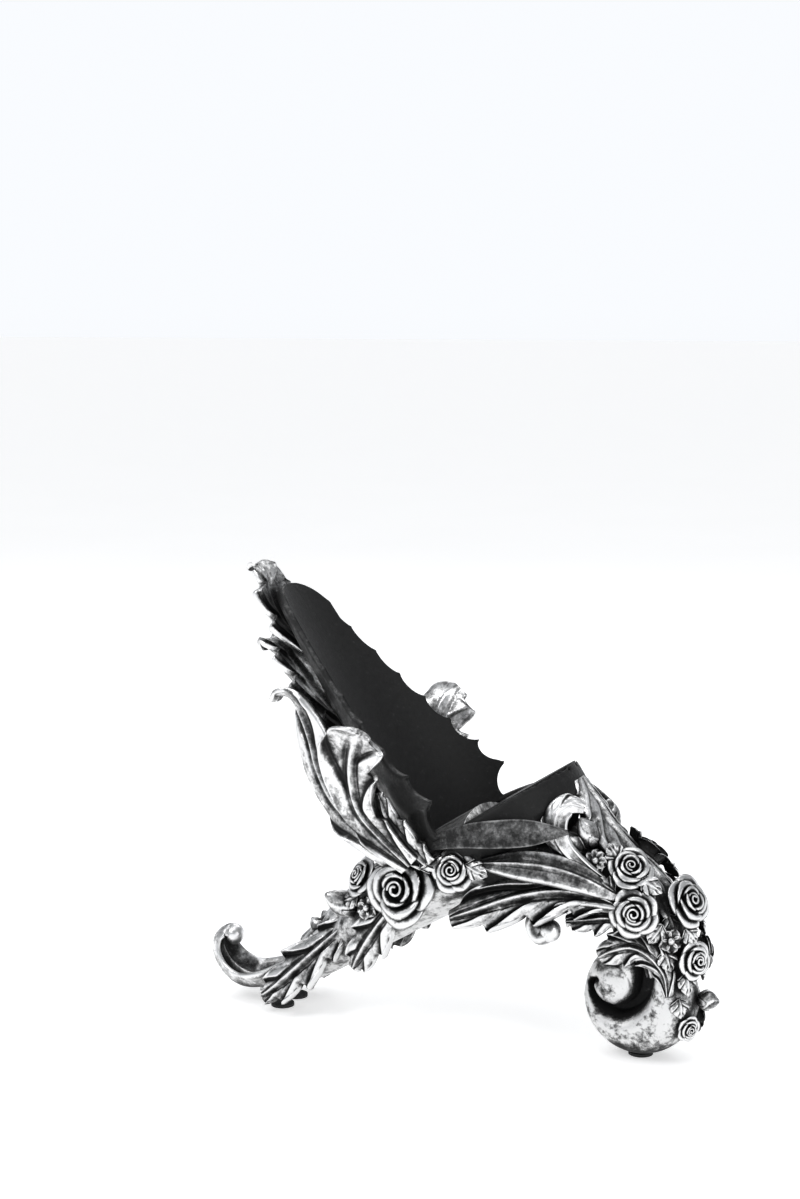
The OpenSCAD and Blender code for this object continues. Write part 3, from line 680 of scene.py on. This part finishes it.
# ---------- leaves of the front leg ----------
spine_leaf = blade([[29, 0, 111.5], [35, 0, 103.5], [42, 0, 93], [51.5, 0, 83.2], [61.5, 0, 74.6],
                    [70.5, 0, 63], [75.5, 0, 51]], LEVEL, [6, 10, 13, 13.5, 13, 12, 9], out=-1, cup=0.3,
                   nt=150, nq=50, plus=(6, 0.3, 0.2), minus=(6, 0.3, 0.2), relief=1.1, body_wear=0.4)
piece("spine_leaf_look", [spine_leaf], ["spine_leaf"], SILVER)
lip_leaf = [blade([[46, -16.5, 74.5], [37.5, -20, 80], [30, -23, 87], [26.5, -24.3, 94.5],
                   [27.5, -23.6, 101.5], [32, -21, 105.3], [37, -18, 103.5]],
                  [[0.7, -0.1, 0.7], [0.75, -0.15, 0.6], [0.9, 0.1, 0.3], [1, 0.25, -0.05],
                   [0.75, 0.1, -0.6], [0.1, -0.2, -1], [-0.5, -0.3, -0.8]],
                  [1.5, 3.2, 4.6, 5.4, 5.2, 4.4, 2.2], cup=0.35, thick=2.4, nt=150, nq=40,
                  plus=(0, 0, 0), minus=(4, 0.15, 0.15), relief=1.3, rib=0.6, calm=0.95, body_wear=0.66)]
piece("lip_leaf_right_look", lip_leaf, ["lip_leaf_right"], SILVER)
piece("lip_leaf_left_look", mirrored(lowered(lip_leaf, 75, 0.7)), ["lip_leaf_left"], SILVER)
reed = blade([[0, -35, 81], [13, -33, 82], [27, -28, 80.5], [39, -22.5, 76], [50, -17, 69.5]],
             [[0.1, 0.6, 1]] * 2, [2, 5.5, 6.5, 5.5, 2.5], out=-1, cup=0.3, thick=4, **PLAIN_EDGES,
             relief=1.2, body_wear=0.3)
pair("reed", [reed], SILVER)
arch_leaf = blade([[51, -15.5, 64], [41, -18.5, 68.6], [26, -22, 69.5], [11, -26, 66], [-3, -29, 60.5],
                   [-15, -30, 55.5]], [[0.1, 0.5, 1]] * 2, [4, 9, 12.5, 12, 9.5, 4], cup=0.22, thick=4,
                  nt=220, nq=60, plus=(2, 0.5, 0.05), minus=(4, 0.35, 0.45), relief=2.0, calm=0.95)
pair("arch_leaf", [arch_leaf], SILVER)
arch_curl = limb([[50, -16.5, 64.5], [41, -18.5, 65.5], [29, -20, 64.5], [20.5, -20.5, 60.5],
                  [17.5, -20.5, 55], [20, -20.5, 51], [24, -20.5, 52.5]], [2.4, 2.8, 3, 3.4, 3.8, 4.2, 3.4],
                 [3, 3.6, 4, 4.4, 4.8, 5, 4], side=[[0.1, 1, 0]] * 2, nt=110, fn=48, flutes=5, depth=0.07)
pair("arch_curl", [arch_curl, ball(4.6, (24, -20.8, 53), 1.0, 18, 0.85)], SILVER)
knee_leaf = blade([[70.5, -12.5, 30], [69, -13, 39], [63, -14, 46], [56, -14.5, 48.5], [48, -14.5, 46],
                   [42.5, -14, 42.5]], [[1, 0, 0.1], [0.8, 0.05, 0.5], [0, 0.1, 1], [-0.5, 0.1, 0.9]],
                  [2.5, 4.5, 6.5, 7.5, 7, 3], nt=150, plus=(5, 0.25, 0.3), minus=(4, 0.3, 0.2),
                  relief=1.7, calm=0.9)
pair("knee_leaf", [knee_leaf], SILVER)
knee_lobe = blade([[55, -15.5, 60], [46, -17.5, 60], [38, -18.5, 58.5], [30, -18.5, 57]],
                  [[0.2, 0.3, 1]] * 2, [4, 7, 6.5, 2.5], plus=(2, 0.35, 0.15), minus=(3, 0.3, 0.5),
                  relief=1.9, calm=0.9)
pair("knee_lobe", [knee_lobe], SILVER)

# ---------- leaves of the rear leg ----------
toe_leaf = blade([[-84, 0, 26], [-98, 0, 16], [-110, 0, 9.2], [-122, 0, 7], [-131.5, 0, 11], [-137, 0, 19],
                  [-136.5, 0, 26], [-132, 0, 29.5], [-128, 0, 27]], LEVEL,
                 [7.5, 11, 13.5, 12.5, 11, 9, 7.5, 6, 4], cup=-0.35, thick=3.6, nt=160, **PLAIN_EDGES,
                 relief=1.3, calm=0.95, body_wear=0.36)
piece("toe_leaf_look", [toe_leaf, ball(4.6, (-130, 0, 26.5), 1.0, 18, 0.75)], ["toe_leaf"], SILVER)
foot_leaf = blade([[-68, -10, 43], [-79, -14.5, 32], [-90, -17.5, 21], [-100, -18, 12], [-107.5, -16, 6.5]],
                  [[0.55, -0.35, -0.75]] * 2, [5, 9, 11, 8.5, 4], out=-1, cup=0.15, thick=4, nt=150,
                  plus=(4, 0.32, 0.55), minus=(3, 0.3, 0.3), relief=2.1, calm=0.95)
pair("foot_leaf", [foot_leaf], SILVER)
skirt_leaf = blade([[-40, -22, 60], [-47, -23.5, 50], [-54, -22.5, 40], [-60, -20, 31], [-64, -17, 25]],
                   [[0.8, -0.1, -0.5]] * 2, [5, 9, 10, 8, 3], out=-1, cup=0.2, thick=4,
                   plus=(3, 0.3, 0.5), minus=(3, 0.3, 0.35), relief=2.0, calm=0.9)
pair("skirt_leaf", [skirt_leaf], SILVER)

# ---------- roses, blossoms, buds and sprigs ----------
ROSE_D = 26.0
# Name, place, what it faces, size against the large rose, layers of petals.
ROSES = [("large_rose", [-34.5, -31.5, 66], [-0.15, -1, 0.2], 1, FULL_BLOWN),
         ("medium_rose", [-11, -35.5, 77.5], [0.02, -1, 0.25], 0.66, BUDDING),
         ("outer_rose", [-57.5, -20, 65], [-0.6, -0.65, 0.5], 0.66, BUDDING),
         ("top_rose", [54, -12.5, 79], [0.4, -0.7, 0.75], 0.62, FULL_BLOWN),
         ("knee_rose", [57.5, -15.5, 63], [0.2, -1, 0.15], 0.74, BUDDING),
         ("front_rose_lower", [78.5, -6.5, 44], [0.85, -0.5, 0.1], 0.6, BUDDING)]
for seed, (name, at, way, share, layers) in enumerate(ROSES, start=3):
    pair(name, place(rose(ROSE_D * share, seed, layers), at, way), SILVER_ROSE)
front_rose = place(rose(ROSE_D * 0.74, 20, FULL_BLOWN), [73.5, -2, 65.5], [0.85, -0.35, 0.45])
piece("front_rose_upper_look", front_rose, ["front_rose_upper"], SILVER_ROSE)

# Place, what it faces, diameter, petals.
BLOSSOMS = [([-54, -24.5, 54], [-0.3, -1, 0.3], 10, 5), ([71, -12.5, 52.5], [0.75, -0.8, 0.1], 10, 5),
            ([41, -16, 82], [0.1, -0.9, 0.5], 10, 8), ([-86, -12, 31.5], [-0.4, -0.6, 0.7], 8, 5)]
blossoms = []
for at, way, size, petals in BLOSSOMS:
    blossoms += both(place(blossom(size, petals), at, way))
piece("blossoms_look", blossoms, ["blossoms"], SILVER_ROSE)

# Place, what it points at, diameter, length.
BUDS = [([-66, -15.5, 50.5], [-0.6, -0.6, 0.5], 11, 13), ([-85, -4.2, 35], [-0.6, -0.2, 0.75], 7, 7),
        ([38, -12.5, 90], [-0.25, -0.5, 0.85], 9, 11), ([33.5, -15.5, 87], [-0.5, -0.6, 0.6], 8, 10)]
buds = []
for turn, (at, way, size, length) in enumerate(BUDS):    # each turned by another radian
    buds += place(bud(size, length, turn), at, way)
pair("buds", buds, SILVER_ROSE)
front_buds = place(bud(8, 7), [81, 0, 26], [1, 0, 0])
front_buds += both(place(rose(10.5, 40), [77, -7, 16], [0.85, -0.6, -0.15]))
piece("front_buds_look", front_buds, ["front_buds"], SILVER_ROSE)

# Middle, length and direction, what it faces.
SPRIGS = [([-21, -36.5, 80], [8, 2, 6], [0, -1, 0.3]), ([-1, -37.5, 79], [9, 1, -4], [0, -1, 0.2]),
          ([66, -15.5, 55.5], [-5, -1, -8], [0.4, -1, 0]), ([77.5, -10.5, 35], [2, -1, -9], [0.9, -0.6, 0]),
          ([46, -18, 73.5], [-7, -2, 5], [0, -1, 0.4]), ([63.5, -14, 74], [8, 2, -5], [0.3, -0.8, 0.6]),
          ([70.5, -13.5, 44.5], [3, -1, -8], [0.6, -1, 0]), ([75, -11, 25], [1, 0, -8], [0.8, -0.7, 0]),
          ([-45.5, -30, 79.5], [-7, 3, 5], [-0.3, -0.8, 0.5]),
          ([-63, -22, 56], [-8, 2, -4], [-0.3, -0.9, 0.3]),
          ([63.5, -10.5, 65], [5, 1, -8], [0.6, -0.7, 0.35]),
          ([70.5, -9.5, 58], [3, -1, -8], [0.8, -0.6, 0.2]),
          ([48, -14, 86], [-4, -2, 7], [0.2, -0.8, 0.5]), ([78, -8, 54], [4, 2, -6], [0.8, -0.6, 0.2])]
pair("rose_leaves", [sprig(*where) for where in SPRIGS], SILVER)

# ---------- studio ----------
FLOOR_SIZE = 40
FLOOR_GLOW = 0.5
# Brightness of the sky from straight down (0) through the horizon (0.5) to straight up (1).
SKY = [(0.0, 0.5), (0.5, 1.0), (0.58, 1.0), (0.68, 0.28), (0.86, 0.36), (1.0, 0.75)]
MIDDLE = (0, 0, 0.08)    # what the lamps are aimed at


def pale_floor():
    bpy.ops.mesh.primitive_plane_add(size=FLOOR_SIZE, location=(0, 0, 0))
    floor = bpy.context.object
    floor.name = "floor"
    m = Nodes("pale_floor")
    m.link(m.ramp(m.noise(6, 2, 0.5), [(0.3, 0.92), (0.7, 0.95)]), m.shader.inputs["Base Color"])
    m.shader.inputs["Roughness"].default_value = 0.7
    m.shader.inputs["Emission Color"].default_value = (1, 1, 1, 1)
    m.shader.inputs["Emission Strength"].default_value = FLOOR_GLOW
    floor.data.materials.append(m.material)


def banded_sky():
    """A sky with a bright horizon and a darker band above it, for contrast in the metal."""
    world = bpy.data.worlds.new("studio")
    bpy.context.scene.world = world
    world.use_nodes = True
    nodes, links = world.node_tree.nodes, world.node_tree.links
    where = nodes.new("ShaderNodeTexCoord")
    split = nodes.new("ShaderNodeSeparateXYZ")
    lift = nodes.new("ShaderNodeMath")
    lift.operation = "MULTIPLY_ADD"
    lift.inputs[1].default_value = 0.5
    lift.inputs[2].default_value = 0.5
    shades = nodes.new("ShaderNodeValToRGB")
    fill_ramp(shades.color_ramp, [(spot, (0.95 * value, 0.97 * value, value, 1)) for spot, value in SKY])
    links.new(where.outputs["Generated"], split.inputs[0])
    links.new(split.outputs["Z"], lift.inputs[0])
    links.new(lift.outputs[0], shades.inputs[0])
    links.new(shades.outputs[0], nodes["Background"].inputs[0])
    nodes["Background"].inputs[1].default_value = 1.0


def softbox(name, at, size, power):
    data = bpy.data.lights.new(name, "AREA")
    data.shape = "RECTANGLE"
    data.size, data.size_y = size
    data.energy = power
    obj = bpy.data.objects.new(name, data)
    bpy.context.collection.objects.link(obj)
    obj.location = at
    obj.rotation_euler = (Vector(MIDDLE) - Vector(at)).to_track_quat("-Z", "Y").to_euler()


def photo_camera():
    """The camera, placed as in the photo."""
    camera = bpy.data.cameras.new("camera")
    camera.sensor_fit = "VERTICAL"
    camera.sensor_height = 36
    camera.lens = 61.55
    camera.clip_start = 0.01
    obj = bpy.data.objects.new("camera", camera)
    bpy.context.collection.objects.link(obj)
    obj.location = (0.2901 + SEAT_X * MM, -0.7659, 0.2966)
    obj.rotation_euler = (math.radians(82.02), 0, math.radians(23.97))
    bpy.context.scene.camera = obj


pale_floor()
banded_sky()
softbox("key", (-0.45, -0.75, 0.95), (0.5, 0.5), 4.2)
softbox("fill", (1.0, -0.5, 0.5), (0.35, 0.8), 2.6)
softbox("back", (-0.2, 0.9, 0.9), (0.9, 0.4), 2.6)
softbox("top", (0.1, -0.05, 1.2), (0.7, 0.5), 2.2)
photo_camera()
bpy.context.scene.view_settings.view_transform = "Standard"
